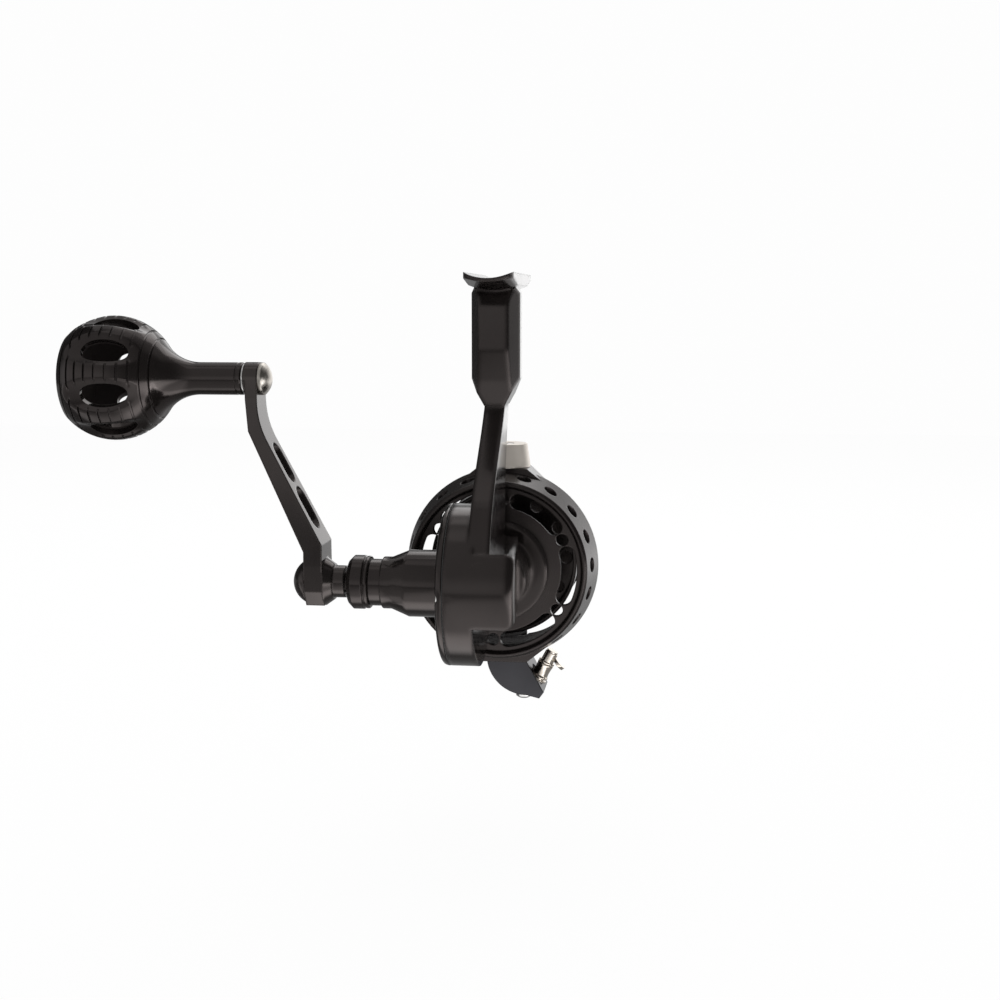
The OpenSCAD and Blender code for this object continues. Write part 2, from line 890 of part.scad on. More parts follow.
module pickup_arm() {
    color(slate) difference() {
        intersection() {
            front_profile(pickup_back, pickup_front) pickup_outline();
            translate([0, 0, -60]) linear_extrude(60) round_box([-8, pickup_back], [18, pickup_front], 3);
        }
        on_roller_axis() rod(4, -3.9, 12);
        on_roller_axis() rod(1.3, -7, 0);
        translate(pickup_screw_at) rod(1.6, -60, -20);
        translate(pickup_screw_at) rod(pickup_head_r + 0.2, -60, pickup_seat);
    }
}

module pickup_screw() {
    head_r = pickup_head_r;
    head_z = pickup_seat;
    color(steel) translate(pickup_screw_at) difference() {
        union() {
            rod(1.6, head_z, -30);
            rod(head_r, head_z, head_z - 2);
            translate([0, 0, head_z - 2.7]) cylinder(r1 = head_r - 1, r2 = head_r, h = 0.7);
        }
        translate([0, 0, head_z - 3.3]) cylinder(r = 1.2, h = 1.8, $fn = 6);
    }
}

module roller_axle() {
    color(champagne) on_roller_axis() union() {
        rod(1.3, -6.8, 7.2);
        rod(2, 7.2, 7.9);
    }
}

module roller_washers() {
    color(champagne) on_roller_axis() {
        ring(3.2, 1.3, -3.9, -3.4);
        ring(2.2, 1.3, -3.4, -2.9);
    }
}

// Hub on the axle's far end, with a round tongue that keeps the line on the roller
module line_finger() {
    tongue_r = 2.6;
    tongue_t = 1.2;
    lean = 23;
    color(champagne) on_roller_axis() difference() {
        union() {
            rod(2.9, 2.9, 3.6);
            rod(2.3, 3.5, 7.2);
            translate([0, 0, 5.2]) rotate([0, lean, 0]) translate([3.8, 0, 0.6]) rod(tongue_r, 0, tongue_t);
        }
        rod(1.3, 2, 8);
    }
}

module line_roller() {
    half = 2.7;
    color(champagne) on_roller_axis() rotate_extrude() polygon([
        [1.7, -half], [flange_r, -half], [flange_r, -half + 0.5], [roller_r + 0.1, -half + 1.1],
        [roller_r, 0], [roller_r + 0.1, half - 1.1], [flange_r - 0.3, half - 0.5], [flange_r - 0.3, half],
        [1.7, half]
    ]);
}

module roller_bush() { color(nylon) on_roller_axis() ring(1.7, 1.3 + run, -2.7, 2.7); }

// Spool shaft and crosshead
module main_shaft() { color(steel) along_y() rod(shaft_r, shaft_back, shaft_front); }

module crosshead() {
    front = -5;
    color(bronze) difference() {
        front_profile(shaft_back, front) round_box([-3.3, -6.7], [6.2, 4], 0.8);
        along_y() rod(shaft_r, -30, 10);
        translate(guide_at) along_y() rod(guide_r + run, -30, 10);
        translate([0, (shaft_back + front) / 2, 0]) rod(1.3, 2.4, 5);
        translate([0, (shaft_back + front) / 2, 0]) along_x() rod(1, 1, 7);
    }
}

module crosshead_screw() {
    color(steel) translate([0, -9, 0]) along_x() difference() {
        rod(1, shaft_r + 0.05, 6.1);
        translate([0, 0, 4.8]) cylinder(r = 0.6, h = 2, $fn = 6);
    }
}

module pawl() {
    color(steel) translate([0, -9, 0]) union() {
        rod(1.3, 2.4, 4.2);
        rod(1, 4, worm_z - worm_r - 0.3);
    }
}

// Click ratchet, drag stack and spool
module click_ratchet() {
    color(steel) difference() {
        union() {
            along_y() rod(7.2, 54.6, 55.9);
            teeth(24, 7.2, 8.4, 0.7, 0.2, 54.6, 55.9, 0);
        }
        along_y() rod(shaft_r, 50, 60);
    }
}

module click_pawl() {
    color(nylon) difference() {
        front_profile(54.4, 55) round_box([8.7, -1.6], [13.6, 1.6], 1.2);
        translate([11.8, 0, 0]) along_y() rod(0.7, 50, 60);
    }
}

module drag_plates() {
    color(steel) along_y() for (i = [0:2]) translate([0, 0, stack_back + 2 * i])
        ring(13.6, shaft_r, 1, 1.9);
}

module friction_washers() {
    color(carbon) along_y() for (i = [0:2]) translate([0, 0, stack_back + 2 * i])
        ring(14.6, 5.5, 0, 0.9);
}

module drag_clip() {
    clip_y = 68.3;
    open_half = 12;
    color(steel) along_y() rotate([0, 0, open_half]) rotate_extrude(angle = 360 - 2 * open_half)
        translate([13.2, clip_y]) square([1.4, 0.8]);
}

module spool() {
    wall = 1.3;
    lip = spool_lip_r;
    vents = 12;
    color(black) difference() {
        along_y() rotate_extrude() polygon([
            [skirt_r - wall, skirt_back], [skirt_r, skirt_back], [skirt_r, spool_web - 0.8],
            [skirt_r - 0.8, spool_web], [arbor_r, spool_web], [arbor_r, spool_front],
            [lip - 1.6, spool_front], [lip, spool_front + 1.4], [lip, spool_end - 1], [lip - 1, spool_end],
            [14.6, spool_end], [14.6, stack_back], [5, stack_back], [5, 57.8], [3.2, 57.8], [3.2, 56.2],
            [9.6, 56.2], [9.6, 55], [skirt_r - wall, 55]
        ]);
        along_y() for (i = [0:vents - 1]) rotate([0, 0, i * 360 / vents]) translate([20.8, 0, 0])
            rod(2.2, 50, 58);
        along_y() translate([11.8, 0, 0]) rod(0.7, 50, 56.6);
    }
}

module spool_bearing() { color(steel) along_y() ball_bearing(5, shaft_r + run, 57.8, stack_back); }

module drag_knob() {
    grips = 8;
    r = drag_knob_r;
    start = 78.2;
    front = 87.5;
    color(black) difference() {
        along_y() rotate_extrude() polygon([
            [pinion_bore, 71.4], [6.6, 71.4], [6.6, start], [r - 0.8, start], [r, start + 0.8],
            [r, front - 2], [r - 2, front], [4, front], [3, front - 0.6], [0, front - 0.6],
            [0, shaft_front + 0.8], [pinion_bore, shaft_front + 0.8]
        ]);
        along_y() translate([0, 0, 72]) cylinder(r = 4.6, h = 5, $fn = 6);
        along_y() for (i = [0:grips - 1]) rotate([0, 0, i * 360 / grips]) translate([r + 2.6, 0, 0])
            rod(4.4, start + 1.6, front + over);
    }
}

module drag_nut() { color(bronze) along_y() hex_nut(4.6, pinion_bore, 72, 77); }

module drag_springs() {
    middle = 69.9;
    color(steel) along_y() translate([0, 0, middle]) for (side = [0, 1]) mirror([0, 0, side])
        rotate_extrude() polygon([[2.6, -0.7], [5.4, -1.5], [5.4, -0.9], [2.6, -0.1]]);
}

from_foot() body();
from_foot() side_plate();
from_foot() side_plate_gasket();
from_foot() side_plate_screws();
from_foot() boss_cap();
from_foot() drive_seal();
from_foot() drive_bearing_inner();
from_foot() drive_bearing_outer();
from_foot() pinion_bearing_rear();
from_foot() pinion_bearing_front();
from_foot() clutch_housing();
from_foot() clutch_retainer();
from_foot() clutch_screws();
from_foot() worm_bush_front();
from_foot() worm_bush_rear();
from_foot() guide_rod();
from_foot() drive_shaft();
from_foot() drive_gear();
from_foot() gear_nut();
from_foot() handle_arm();
from_foot() handle_screw();
from_foot() knob_axle();
from_foot() knob_washer();
from_foot() knob_screw();
from_foot() knob();
from_foot() knob_bushings();
from_foot() pinion();
from_foot() clutch_sleeve();
from_foot() rotor();
from_foot() rotor_nut();
from_foot() counterweight();
from_foot() counterweight_screw();
from_foot() pickup_arm();
from_foot() pickup_screw();
from_foot() roller_axle();
from_foot() roller_washers();
from_foot() line_finger();
from_foot() line_roller();
from_foot() roller_bush();
from_foot() worm_shaft();
from_foot() worm_gear();
from_foot() main_shaft();
from_foot() crosshead();
from_foot() crosshead_screw();
from_foot() pawl();
from_foot() click_ratchet();
from_foot() drag_plates();
from_foot() spool();
from_foot() spool_bearing();
from_foot() friction_washers();
from_foot() drag_clip();
from_foot() click_pawl();
from_foot() drag_knob();
from_foot() drag_nut();
from_foot() drag_springs();
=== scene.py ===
import json
import math

import bmesh
import bpy
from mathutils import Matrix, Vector


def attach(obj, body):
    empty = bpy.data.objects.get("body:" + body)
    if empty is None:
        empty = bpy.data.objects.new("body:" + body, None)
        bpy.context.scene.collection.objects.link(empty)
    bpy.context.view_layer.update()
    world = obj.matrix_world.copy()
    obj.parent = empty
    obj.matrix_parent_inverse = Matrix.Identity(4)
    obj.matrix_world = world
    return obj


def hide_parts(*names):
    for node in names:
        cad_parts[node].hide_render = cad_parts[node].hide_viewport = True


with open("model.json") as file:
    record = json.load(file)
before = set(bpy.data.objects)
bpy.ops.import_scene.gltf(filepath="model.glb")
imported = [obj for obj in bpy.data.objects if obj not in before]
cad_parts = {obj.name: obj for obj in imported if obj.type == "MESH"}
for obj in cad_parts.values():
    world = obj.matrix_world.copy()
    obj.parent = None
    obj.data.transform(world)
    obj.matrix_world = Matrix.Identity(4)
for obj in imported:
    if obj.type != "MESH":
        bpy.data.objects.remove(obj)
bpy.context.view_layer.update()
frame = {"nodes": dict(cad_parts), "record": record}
nodes = frame["nodes"]

# The part's origin is the foot's saddle. Sizes of the reel are in millimetres from the crossing of
# the spool axis (Y) and the handle axis (X), as the solids are drawn. Floor and lamps are in metres
# from the origin.
FOOT_MID = 29.0
FOOT_HEIGHT = 97.0


def at(x, y, z):
    """A place on the reel, in the frame's metres."""
    return Vector((x / 1000, (y - FOOT_MID) / 1000, (z - FOOT_HEIGHT) / 1000))


# Materials


class Nodes:
    """A material's node tree, with short calls for the nodes used here."""

    def __init__(self, name):
        self.mat = bpy.data.materials.new(name)
        self.mat.use_nodes = True
        self.tree = self.mat.node_tree
        self.tree.nodes.clear()
        self.shader = self.add("ShaderNodeBsdfPrincipled")
        out = self.add("ShaderNodeOutputMaterial")
        self.link(self.shader.outputs["BSDF"], out.inputs["Surface"])
        self.coords = self.add("ShaderNodeTexCoord").outputs["Object"]

    @classmethod
    def of(cls, mat):
        """The same calls on a material made before."""
        n = cls.__new__(cls)
        n.mat, n.tree = mat, mat.node_tree
        n.shader = next(node for node in n.tree.nodes if node.type == "BSDF_PRINCIPLED")
        coords = next(node for node in n.tree.nodes if node.type == "TEX_COORD")
        n.coords = coords.outputs["Object"]
        return n

    def add(self, kind, **settings):
        node = self.tree.nodes.new(kind)
        for key, value in settings.items():
            setattr(node, key, value)
        return node

    def link(self, a, b):
        self.tree.links.new(a, b)

    def math(self, op, a, b=None):
        node = self.add("ShaderNodeMath", operation=op)
        for socket, value in zip(node.inputs, (a, b)):
            if value is None:
                continue
            if isinstance(value, (int, float)):
                socket.default_value = value
            else:
                self.link(value, socket)
        return node.outputs[0]

    def noise(self, vector, scale, detail=3.0, rough=0.5):
        node = self.add("ShaderNodeTexNoise")
        self.link(vector, node.inputs["Vector"])
        node.inputs["Scale"].default_value = scale
        node.inputs["Detail"].default_value = detail
        node.inputs["Roughness"].default_value = rough
        return node.outputs["Fac"]

    def ramp(self, fac, stops):
        node = self.add("ShaderNodeValToRGB")
        elements = node.color_ramp.elements
        for end in (0, -1):
            pos, color = stops[end]
            elements[end].position, elements[end].color = pos, tuple(color) + (1,)
        for pos, color in stops[1:-1]:
            elements.new(pos).color = tuple(color) + (1,)
        self.link(fac, node.inputs["Fac"])
        return node.outputs["Color"]

    def reach(self, value, start, end):
        """The value, taken from the span start to the span end."""
        node = self.add("ShaderNodeMapRange")
        self.link(value, node.inputs["Value"])
        for key, number in zip(("From Min", "From Max", "To Min", "To Max"), start + end):
            node.inputs[key].default_value = number
        return node.outputs["Result"]

    def turned(self, axis, centre):
        """A vector (along the axis, radius, 0) in metres about a line through centre."""
        split = self.add("ShaderNodeSeparateXYZ")
        self.link(self.coords, split.inputs[0])
        others = [i for i in range(3) if i != axis]
        squares = []
        for i in others:
            d = self.math("SUBTRACT", split.outputs[i], centre[i])
            squares.append(self.math("MULTIPLY", d, d))
        radius = self.math("SQRT", self.math("ADD", squares[0], squares[1]))
        join = self.add("ShaderNodeCombineXYZ")
        self.link(split.outputs[axis], join.inputs[0])
        self.link(radius, join.inputs[1])
        return join.outputs[0]

    def bump(self, height, strength, distance, edge):
        """Fine relief from height, on edges that look broken by a radius in mm."""
        soft = self.add("ShaderNodeBevel", samples=6)
        soft.inputs["Radius"].default_value = edge / 1000
        node = self.add("ShaderNodeBump")
        node.inputs["Strength"].default_value = strength
        node.inputs["Distance"].default_value = distance
        self.link(height, node.inputs["Height"])
        self.link(soft.outputs["Normal"], node.inputs["Normal"])
        self.link(node.outputs["Normal"], self.shader.inputs["Normal"])


CLOUD_SCALE = 45.0
TURNED_SCALE = 2200.0
BLASTED_SCALE = 2600.0
MARK_SHARE = 0.35
MARK_STRENGTH = 0.2


def metal(name, dark, light, rough, lathe=None, depth=0.002, metallic=1.0, edge=0.3):
    """Cloudy tint, uneven gloss, and turning marks about a lathe axis or else fine blasted grain.

    The depth of the marks and the radius of the edges are in mm.
    """
    n = Nodes(name)
    cloud = n.noise(n.coords, CLOUD_SCALE, 4.0)
    n.link(n.ramp(cloud, [(0.3, dark), (0.7, light)]), n.shader.inputs["Base Color"])
    n.shader.inputs["Metallic"].default_value = metallic
    if lathe:
        marks = n.noise(n.turned(*lathe), TURNED_SCALE, 2.0)
    else:
        marks = n.noise(n.coords, BLASTED_SCALE, 2.0)
    fine = n.math("MULTIPLY", marks, MARK_SHARE)
    mixed = n.math("ADD", fine, n.math("MULTIPLY", cloud, 1 - MARK_SHARE))
    n.link(n.reach(mixed, (0.0, 1.0), rough), n.shader.inputs["Roughness"])
    n.bump(marks, MARK_STRENGTH, depth / 1000, edge)
    return n.mat


CRANK_R = 65.3
WEIGHT_Y = 45

# Each lathe axis is the number of its direction and a point on it
HANDLE_AXIS = (0, at(0, 0, 0))
SPOOL_AXIS = (1, at(0, 0, 0))
KNOB_AXIS = (0, at(0, 0, CRANK_R))
WEIGHT_AXIS = (2, at(0, WEIGHT_Y, 0))

BLACK = ((0.040, 0.0335, 0.032), (0.054, 0.046, 0.044))
PALER = ((0.056, 0.048, 0.046), (0.074, 0.064, 0.061))
COAT = {"rough": (0.08, 0.2), "depth": 0.001, "metallic": 0.75}
SATIN_COAT = {**COAT, "rough": (0.18, 0.32)}
black = metal("black_anodised", *BLACK, **COAT, edge=2.2)
black_x = metal("black_turned_handle", *BLACK, **COAT, lathe=HANDLE_AXIS)
black_y = metal("black_turned_spool", *BLACK, **SATIN_COAT, lathe=SPOOL_AXIS, edge=0.5)
black_arm = metal("black_anodised_arm", *PALER, **COAT, edge=0.8)
black_knob = metal("black_turned_knob", *BLACK, **COAT, lathe=KNOB_AXIS, edge=0.12)
slate = metal(
    "slate_anodised", (0.042, 0.0415, 0.045), (0.058, 0.057, 0.062), rough=(0.22, 0.36), edge=0.6
)
champagne = metal(
    "champagne_nickel", (0.64, 0.58, 0.51), (0.74, 0.68, 0.61), rough=(0.16, 0.28), edge=0.15
)
champagne_z = metal(
    "champagne_turned", (0.76, 0.7, 0.63), (0.84, 0.78, 0.71), rough=(0.34, 0.44),
    lathe=WEIGHT_AXIS, depth=0.004, metallic=0.55
)
steel = metal(
    "bright_steel", (0.6, 0.59, 0.58), (0.74, 0.73, 0.72), rough=(0.14, 0.28), edge=0.15
)
satin = metal(
    "satin_steel", (0.44, 0.41, 0.37), (0.54, 0.51, 0.47), rough=(0.25, 0.38), lathe=KNOB_AXIS
)
bronze = metal(
    "machined_bronze", (0.5, 0.36, 0.18), (0.66, 0.5, 0.28), rough=(0.22, 0.36), edge=0.1
)
rubber = metal(
    "black_rubber", (0.02, 0.02, 0.02), (0.04, 0.04, 0.04), rough=(0.55, 0.75), metallic=0.0
)
nylon = metal(
    "natural_nylon", (0.74, 0.71, 0.64), (0.86, 0.84, 0.78), rough=(0.4, 0.55), metallic=0.0
)
carbon = metal(
    "carbon_disc", (0.03, 0.03, 0.032), (0.09, 0.09, 0.095), rough=(0.4, 0.6), metallic=0.0
)


def painted_hollow_shade(mat, centre, skin):
    """Makes the faces nearer to centre than skin, in mm, non-metallic and without specular, so they
    read dark: painted shade in the hollow.
    """
    n = Nodes.of(mat)
    offset = n.add("ShaderNodeVectorMath", operation="DISTANCE")
    n.link(n.coords, offset.inputs[0])
    offset.inputs[1].default_value = centre
    edge = ((skin - 0.2) / 1000, (skin + 0.2) / 1000)
    for key, outside in (("Metallic", COAT["metallic"]), ("Specular IOR Level", 0.5)):
        n.link(n.reach(offset.outputs["Value"], edge, (0.0, outside)), n.shader.inputs[key])


BY_SLOT = {
    "black_anodised": black,
    "slate_anodised": slate,
    "champagne_nickel": champagne,
    "bright_steel": steel,
    "bronze": bronze,
    "nylon": nylon,
    "rubber": rubber,
    "carbon_fibre": carbon,
}
BY_NODE = {
    "side_plate": black_x,
    "boss_cap": black_x,
    "handle_arm": black_arm,
    "handle_screw": black_arm,
    "drive_shaft": black_x,
    "knob": black_knob,
    "knob_axle": satin,
    "rotor": black_y,
    "spool": black_y,
    "drag_knob": black_y,
    "counterweight": champagne_z,
}

for part in frame["record"]["subparts"]:
    mesh = nodes[part["node"]].data
    mesh.materials.clear()
    mesh.materials.append(BY_NODE.get(part["node"], BY_SLOT[part["material_slot"]]))


# Broken edges on the solids that show

WELD_GAP = 0.000002
FLAT_ANGLE = math.radians(0.4)
EDGE_ANGLE = math.radians(30)


def break_edges(name, width):
    """Rounds a solid's sharp edges over a width in mm, with modifiers alone."""
    obj = nodes[name]
    weld = obj.modifiers.new("weld", "WELD")
    weld.merge_threshold = WELD_GAP
    flat = obj.modifiers.new("flat", "DECIMATE")
    flat.decimate_type = "DISSOLVE"
    flat.angle_limit = FLAT_ANGLE
    bevel = obj.modifiers.new("edge", "BEVEL")
    bevel.width = width / 1000
    bevel.segments = 3
    bevel.limit_method = "ANGLE"
    bevel.angle_limit = EDGE_ANGLE
    bevel.use_clamp_overlap = False
    bevel.loop_slide = False
    bevel.harden_normals = True
    normals = obj.modifiers.new("normals", "WEIGHTED_NORMAL")
    normals.keep_sharp = True


for name, width in {
    "side_plate": 0.35,
    "boss_cap": 0.12,
    "handle_screw": 0.2,
    "knob_axle": 0.2,
    "knob_washer": 0.12,
    "counterweight": 0.3,
    "spool": 0.25,
    "drag_knob": 0.25,
    "line_finger": 0.12,
    "line_roller": 0.08,
    "roller_washers": 0.06,
    "pickup_screw": 0.12,
}.items():
    break_edges(name, width)


# The knob's pierced ball: turned rings, scalloped slots and the hollow behind them

BALL_X = -121.4
BALL_R = 20.1
SHELL = 3.7
INNER_R = BALL_R - SHELL
END_FLAT = 14.5
END_WALL = 3.0
STALK_R = 5.2
STALK_START = -78.6
BORE_R = 4.0
BORE_END = -103.0
BLEND = 14.7
BLEND_STEPS = 24
SLOTS = 8
FIRST_SLOT = math.radians(59.5)
SLOT_MID = 2.3
SLOT_HALF_LENGTH = 7.5
SLOT_HALF_WIDTH = 3.9
SLOT_POWER = 0.92
SLOT_POINTS = 44
DISH_MID = 1.4
DISH_DEPTH = 2.2
DISH_HALF_LENGTH = 13.2
DISH_HALF_WIDTH = 5.8
RINGS = [math.radians(1.6 + 9.8 * i) for i in range(-4, 6)]
RING_HALF = math.radians(0.85)
RING_OUT = 1.3
RING_DEPTH = 0.6
COLUMNS = 27 * SLOTS


def new_mesh(name, verts, faces):
    mesh = bpy.data.meshes.new(name)
    mesh.from_pydata(verts, [], faces)
    bm = bmesh.new()
    bm.from_mesh(mesh)
    bmesh.ops.recalc_face_normals(bm, faces=bm.faces)
    bm.to_mesh(mesh)
    bm.free()
    return mesh


def new_object(mesh):
    obj = bpy.data.objects.new(mesh.name, mesh)
    bpy.context.scene.collection.objects.link(obj)
    return obj


def knob_shell(name, rows, start, end):
    """A closed skin about the knob axis, from a point through rows of (x, r) to a point."""
    verts, faces = [], []
    for row in rows:
        for j in range(COLUMNS):
            turn = 2 * math.pi * j / COLUMNS
            x, r = row(turn)
            verts.append(at(x, -r * math.sin(turn), CRANK_R + r * math.cos(turn)))
    first = len(verts)
    verts += [at(start, 0, CRANK_R), at(end, 0, CRANK_R)]
    last = (len(rows) - 1) * COLUMNS
    for j in range(COLUMNS):
        k = (j + 1) % COLUMNS
        faces.append((first, j, k))
        faces.append((first + 1, last + k, last + j))
        for i in range(0, last, COLUMNS):
            faces.append((i + j, i + COLUMNS + j, i + COLUMNS + k, i + k))
    return new_object(new_mesh(name, verts, faces))


def scallop(lean, turn):
    """Depth of the dished rim round the nearest slot."""
    step = 2 * math.pi / SLOTS
    off = (turn - FIRST_SLOT + step / 2) % step - step / 2
    along = BALL_R * (lean - math.asin(DISH_MID / BALL_R))
    across = off * BALL_R * math.cos(lean)
    far = (along / DISH_HALF_LENGTH) ** 2 + (across / DISH_HALF_WIDTH) ** 2
    return DISH_DEPTH * max(0.0, 1 - far)


def ball_row(lean, ring):
    """A row on the ball at an angle along it, sunk by a ring or by the slots' dishes."""

    def row(turn):
        out = BALL_R - max(ring, scallop(lean, turn))
        return BALL_X + out * math.sin(lean), out * math.cos(lean)

    return row


def plain_row(x, r):
    return lambda turn: (x, r)


def ring_places(low, high):
    """Angles along the ball from low to high, each with the depth of the turned rings there."""
    places = {low: 0.0, high: 0.0}
    land = RINGS[1] - RINGS[0] - 2 * RING_OUT * RING_HALF
    for mid in RINGS:
        for off in (-RING_OUT, -1.0, 1.0, RING_OUT):
            places[mid + off * RING_HALF] = 0.0 if abs(off) == RING_OUT else RING_DEPTH
        for part in (0.25, 0.5, 0.75):
            places[mid + RING_OUT * RING_HALF + part * land] = 0.0
    return sorted((a, d) for a, d in places.items() if low <= a <= high)


def rounded(value):
    """A cosine or sine, bent so that a circle becomes a slot's fuller oval."""
    return math.copysign(abs(value) ** SLOT_POWER, value)


def slot_prisms():
    """Radial prisms with rounded ends, one for each slot."""
    verts, faces = [], []
    count = SLOT_POINTS
    for i in range(SLOTS):
        turn = FIRST_SLOT + 2 * math.pi * i / SLOTS
        out = Vector((0, -math.sin(turn), math.cos(turn)))
        side = Vector((0, math.cos(turn), math.sin(turn)))
        base = len(verts)
        for radius in (12.0, 24.0):
            for j in range(count):
                a = 2 * math.pi * j / count
                x = BALL_X + SLOT_MID + SLOT_HALF_LENGTH * rounded(math.cos(a))
                p = out * radius + side * SLOT_HALF_WIDTH * rounded(math.sin(a))
                verts.append(at(x, p.y, CRANK_R + p.z))
        faces.append([base + j for j in range(count)])
        faces.append([base + count + j for j in range(count)])
        for j in range(count):
            k = (j + 1) % count
            faces.append([base + j, base + count + j, base + count + k, base + k])
    return new_object(new_mesh("slots", verts, faces))


def knob_rows():
    """The knob's skin from its flat end, over the ball and down the stalk, into the axle's bore."""
    blend_r = STALK_R + BLEND
    slope = math.asin(blend_r / (BALL_R + BLEND))
    blend_x = BALL_X + (BALL_R + BLEND) * math.cos(slope)
    rim = BALL_X - END_FLAT
    rows = [plain_row(rim, r) for r in (4.0, 8.0, 12.0, 13.2)]
    rows += [plain_row(rim + 0.1, 13.6), plain_row(rim + 0.3, 14.0)]
    places = ring_places(math.asin(-13.9 / BALL_R), math.pi / 2 - slope)
    rows += [ball_row(*place) for place in places]
    for i in range(BLEND_STEPS + 1):
        a = slope + (math.pi / 2 - slope) * i / BLEND_STEPS
        rows.append(plain_row(blend_x - BLEND * math.cos(a), blend_r - BLEND * math.sin(a)))
    groove = STALK_START - 1.6
    for x, r in ((-0.3, 0), (-0.2, 0.25), (0.2, 0.25), (0.3, 0)):
        rows.append(plain_row(groove + x, STALK_R - r))
    rows += [plain_row(STALK_START - 0.25, STALK_R), plain_row(STALK_START, STALK_R - 0.25)]
    rows += [plain_row(STALK_START, BORE_R), plain_row(BORE_END, BORE_R)]
    return rows


def hollow_rows():
    """The hollow behind the slots, from the end wall over the inner ball."""
    low = END_WALL - END_FLAT
    rows = [plain_row(BALL_X + low, r) for r in (4.0, 8.0)]
    first = math.asin(low / INNER_R)
    for i in range(33):
        a = first + (math.pi / 2 - 0.05 - first) * i / 32
        rows.append(plain_row(BALL_X + INNER_R * math.sin(a), INNER_R * math.cos(a)))
    return rows


def make_knob():
    obj = knob_shell("knob_ball", knob_rows(), BALL_X - END_FLAT, BORE_END)
    low = END_WALL - END_FLAT
    hollow = knob_shell("hollow", hollow_rows(), BALL_X + low, BALL_X + INNER_R)
    cutters = [hollow, slot_prisms()]
    for cutter in cutters:
        cut = obj.modifiers.new(cutter.name, "BOOLEAN")
        cut.operation = "DIFFERENCE"
        cut.solver = "EXACT"
        cut.object = cutter
    done = obj.evaluated_get(bpy.context.evaluated_depsgraph_get())
    mesh = bpy.data.meshes.new_from_object(done)
    obj.modifiers.clear()
    obj.data = mesh
    for cutter in cutters:
        bpy.data.objects.remove(cutter)
    mesh.shade_smooth()
    mesh.set_sharp_from_angle(angle=math.radians(35))
    mesh.materials.clear()
    # Painted shade inside the knob's hollow behind the slots
    painted_hollow_shade(black_knob, at(BALL_X, 0, CRANK_R), INNER_R + 0.6)
    mesh.materials.append(black_knob)
    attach(obj, "grip")
    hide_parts("knob")


make_knob()


# Floor, light and camera

FLOOR_Z = at(0, 0, -88).z
FLOOR_HALF = 1.6
FLOOR_TINTS = [(0.3, (0.93, 0.93, 0.93)), (0.7, (0.95, 0.95, 0.95))]
FLOOR_GLOW = 1.02
SHADOW_SHARE = 0.08

# How bright the painted pool of light on the floor is to metal at each Y, in the span and up to the
# peak given; the dip just behind the reel is painted shadow
PAINTED_POOL_SPAN = (-1.0, 1.5)
PAINTED_POOL_PEAK = 2.5
PAINTED_POOL_STOPS = [
    (-0.95, 0.35), (-0.7, 0.5), (-0.42, 0.85), (-0.22, 1.0), (-0.1, 1.25), (-0.075, 2.5),
    (-0.045, 2.5), (-0.025, 0.25), (0.12, 0.3), (0.22, 0.6), (1.2, 0.6)
]


def make_floor():
    """White to the camera with a faint shadow; to metal, a painted pool of light in front of the
    reel, with painted shadow under and behind it.
    """
    h = FLOOR_HALF
    corners = [(x, y, FLOOR_Z) for x, y in ((-h, -h), (h, -h), (h, h), (-h, h))]
    obj = new_object(new_mesh("floor", corners, [(0, 1, 2, 3)]))
    n = Nodes("pale_floor_painted_pool")
    tint = n.ramp(n.noise(n.coords, 3.0), FLOOR_TINTS)
    n.link(tint, n.shader.inputs["Base Color"])
    n.shader.inputs["Roughness"].default_value = 0.9
    split = n.add("ShaderNodeSeparateXYZ")
    n.link(n.coords, split.inputs[0])
    low, high = PAINTED_POOL_SPAN
    painted_pool_shades = [((y - low) / (high - low), (v / PAINTED_POOL_PEAK,) * 3) for y, v in PAINTED_POOL_STOPS]
    # Painted reflection: the floor glows to glossy rays alone, as a pool of light in front of the
    # reel with painted shadow just behind it, dimmer to the left and brighter to the right
    painted_pool = n.add("ShaderNodeEmission")
    along = n.reach(split.outputs["Y"], PAINTED_POOL_SPAN, (0.0, 1.0))
    n.link(n.ramp(along, painted_pool_shades), painted_pool.inputs["Color"])
    left = n.reach(split.outputs["X"], (-0.1, -0.05), (0.45 * PAINTED_POOL_PEAK, PAINTED_POOL_PEAK))
    right = n.reach(split.outputs["X"], (0.12, 0.3), (1.0, 2.5))
    n.link(n.math("MULTIPLY", left, right), painted_pool.inputs["Strength"])
    glow = n.add("ShaderNodeEmission")
    glow.inputs["Color"].default_value = (1, 1, 1, 1)
    glow.inputs["Strength"].default_value = FLOOR_GLOW
    path = n.add("ShaderNodeLightPath")
    mirrored = n.add("ShaderNodeMixShader")
    n.link(path.outputs["Is Glossy Ray"], mirrored.inputs["Fac"])
    n.link(n.shader.outputs["BSDF"], mirrored.inputs[1])
    n.link(painted_pool.outputs[0], mirrored.inputs[2])
    seen = n.add("ShaderNodeMixShader")
    n.link(n.math("MULTIPLY", path.outputs["Is Camera Ray"], 1 - SHADOW_SHARE), seen.inputs["Fac"])
    n.link(mirrored.outputs[0], seen.inputs[1])
    n.link(glow.outputs[0], seen.inputs[2])
    out = next(node for node in n.tree.nodes if node.type == "OUTPUT_MATERIAL")
    n.link(seen.outputs[0], out.inputs["Surface"])
    obj.data.materials.append(n.mat)


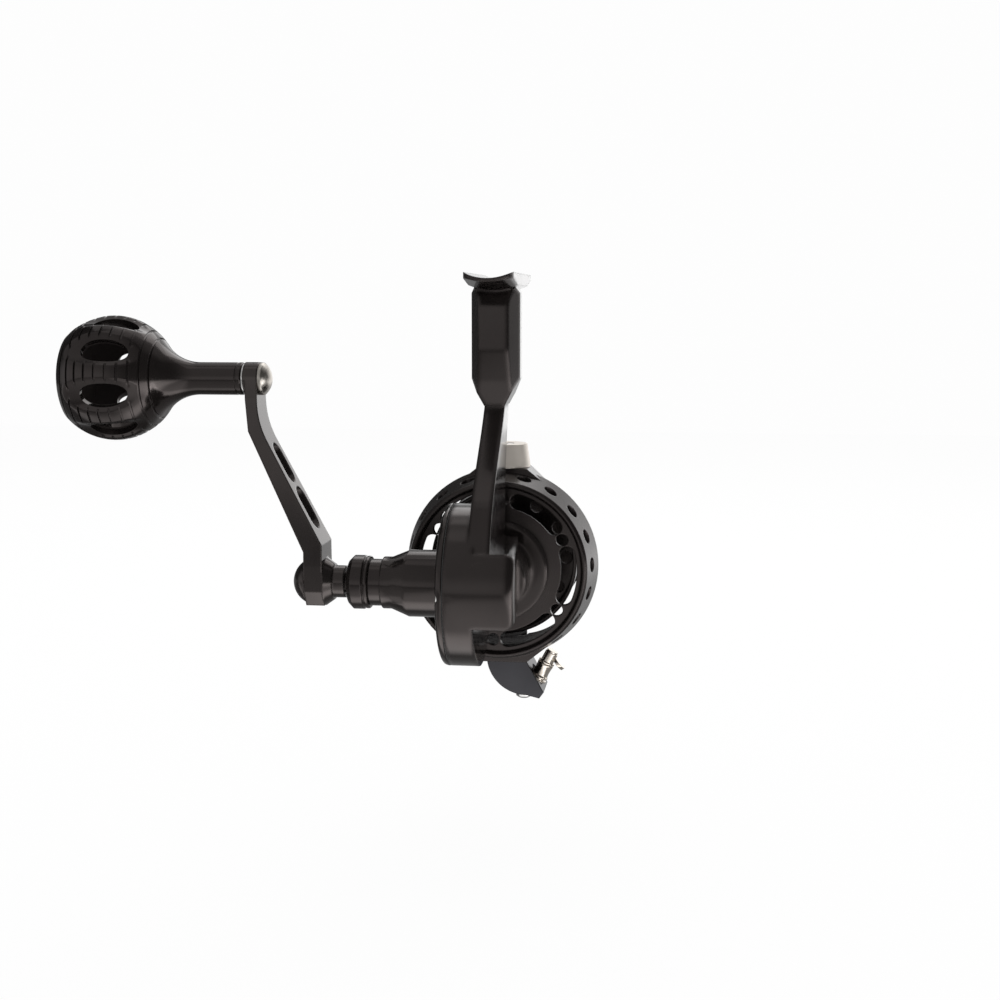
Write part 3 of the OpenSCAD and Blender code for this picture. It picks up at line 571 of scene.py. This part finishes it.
def make_world():
    """White to the camera; to metal, pale behind and low in front, dim above and at the sides."""
    world = bpy.data.worlds.new("studio")
    bpy.context.scene.world = world
    world.use_nodes = True
    tree = world.node_tree
    tree.nodes.clear()

    def background(strength):
        node = tree.nodes.new("ShaderNodeBackground")
        node.inputs["Color"].default_value = (1, 1, 1, 1)
        node.inputs["Strength"].default_value = strength
        return node

    def mix(fac, a, b):
        node = tree.nodes.new("ShaderNodeMixShader")
        tree.links.new(fac, node.inputs["Fac"])
        tree.links.new(a, node.inputs[1])
        tree.links.new(b, node.inputs[2])
        return node.outputs[0]

    def blend(value, start, end, low, high):
        """Low up to the start, high from the end, and a smooth step between."""
        node = tree.nodes.new("ShaderNodeMapRange")
        node.interpolation_type = "SMOOTHSTEP"
        tree.links.new(value, node.inputs["Value"])
        keys = ("From Min", "From Max", "To Min", "To Max")
        for key, number in zip(keys, (start, end, low, high)):
            node.inputs[key].default_value = number
        return node.outputs["Result"]

    def join(op, a, b):
        node = tree.nodes.new("ShaderNodeMath")
        node.operation = op
        tree.links.new(a, node.inputs[0])
        tree.links.new(b, node.inputs[1])
        return node.outputs[0]

    path = tree.nodes.new("ShaderNodeLightPath")
    coords = tree.nodes.new("ShaderNodeTexCoord")
    split = tree.nodes.new("ShaderNodeSeparateXYZ")
    tree.links.new(coords.outputs["Generated"], split.inputs[0])
    x, y, z = (split.outputs[i] for i in range(3))
    # In front, where the camera stands: brighter low and to the left
    front = join("MULTIPLY", blend(z, 0.08, 0.4, 0.57, 0.34), blend(x, -0.25, 0.7, 1.15, 0.15))
    front = join("MULTIPLY", front, blend(y, -0.1, 0.3, 1.0, 0.04))
    # Behind the reel: pale in the middle, dark to the left and far right, dimmer above
    behind = join("MULTIPLY", blend(y, -0.25, 0.4, 0.0, 1.6), blend(x, -0.3, 0.0, 0.03, 1.0))
    behind = join("MULTIPLY", behind, blend(x, 0.3, 0.7, 1.0, 0.65))
    behind = join("MULTIPLY", behind, blend(x, 0.74, 0.86, 1.0, 0.12))
    behind = join("MULTIPLY", behind, blend(z, 0.1, 0.6, 1.0, 0.3))
    mirrored = background(1.0)
    tree.links.new(join("MAXIMUM", front, behind), mirrored.inputs["Strength"])
    seen = background(0.985)
    fill = background(0.55)
    either = join("MAXIMUM", path.outputs["Is Glossy Ray"], path.outputs["Is Transmission Ray"])
    shown = mix(either, fill.outputs[0], mirrored.outputs[0])
    shown = mix(path.outputs["Is Camera Ray"], shown, seen.outputs[0])
    out = tree.nodes.new("ShaderNodeOutputWorld")
    tree.links.new(shown, out.inputs["Surface"])


def make_light(name, place, target, size, power):
    """A soft rectangular lamp, in metres and watts."""
    data = bpy.data.lights.new(name, "AREA")
    data.shape = "RECTANGLE"
    data.size, data.size_y = size
    data.energy = power
    obj = bpy.data.objects.new(name, data)
    obj.location = place
    obj.rotation_euler = (Vector(target) - Vector(place)).to_track_quat("-Z", "Y").to_euler()
    bpy.context.scene.collection.objects.link(obj)


CAMERA_PLACE = at(60.3, -458.5, 88.2)
CAMERA_YAW = math.radians(7.0)
CAMERA_PITCH = math.radians(7.5)
CAMERA_LENS = 52.884


def make_camera():
    """Behind the reel, a little to its right and above, as in the photograph."""
    data = bpy.data.cameras.new("camera")
    data.sensor_width = 36.0
    data.lens = CAMERA_LENS
    data.clip_start = 0.01
    obj = bpy.data.objects.new("camera", data)
    obj.location = CAMERA_PLACE
    level = math.cos(CAMERA_PITCH)
    look = Vector(
        (-math.sin(CAMERA_YAW) * level, math.cos(CAMERA_YAW) * level, -math.sin(CAMERA_PITCH))
    )
    obj.rotation_euler = look.to_track_quat("-Z", "Y").to_euler()
    bpy.context.scene.collection.objects.link(obj)
    bpy.context.scene.camera = obj


make_floor()
make_world()
middle = at(-40, 10, 20)
make_light("top", (-0.15, 0.55, 0.75), middle, (1.1, 0.8), 1.6)
make_light("over", (-0.1, 0.02, 0.9), middle, (0.7, 0.5), 0.35)
make_light("front", (0.1, 0.7, 0.65), middle, (0.9, 0.5), 2.0)
make_camera()

bpy.context.scene.view_settings.view_transform = "Standard"
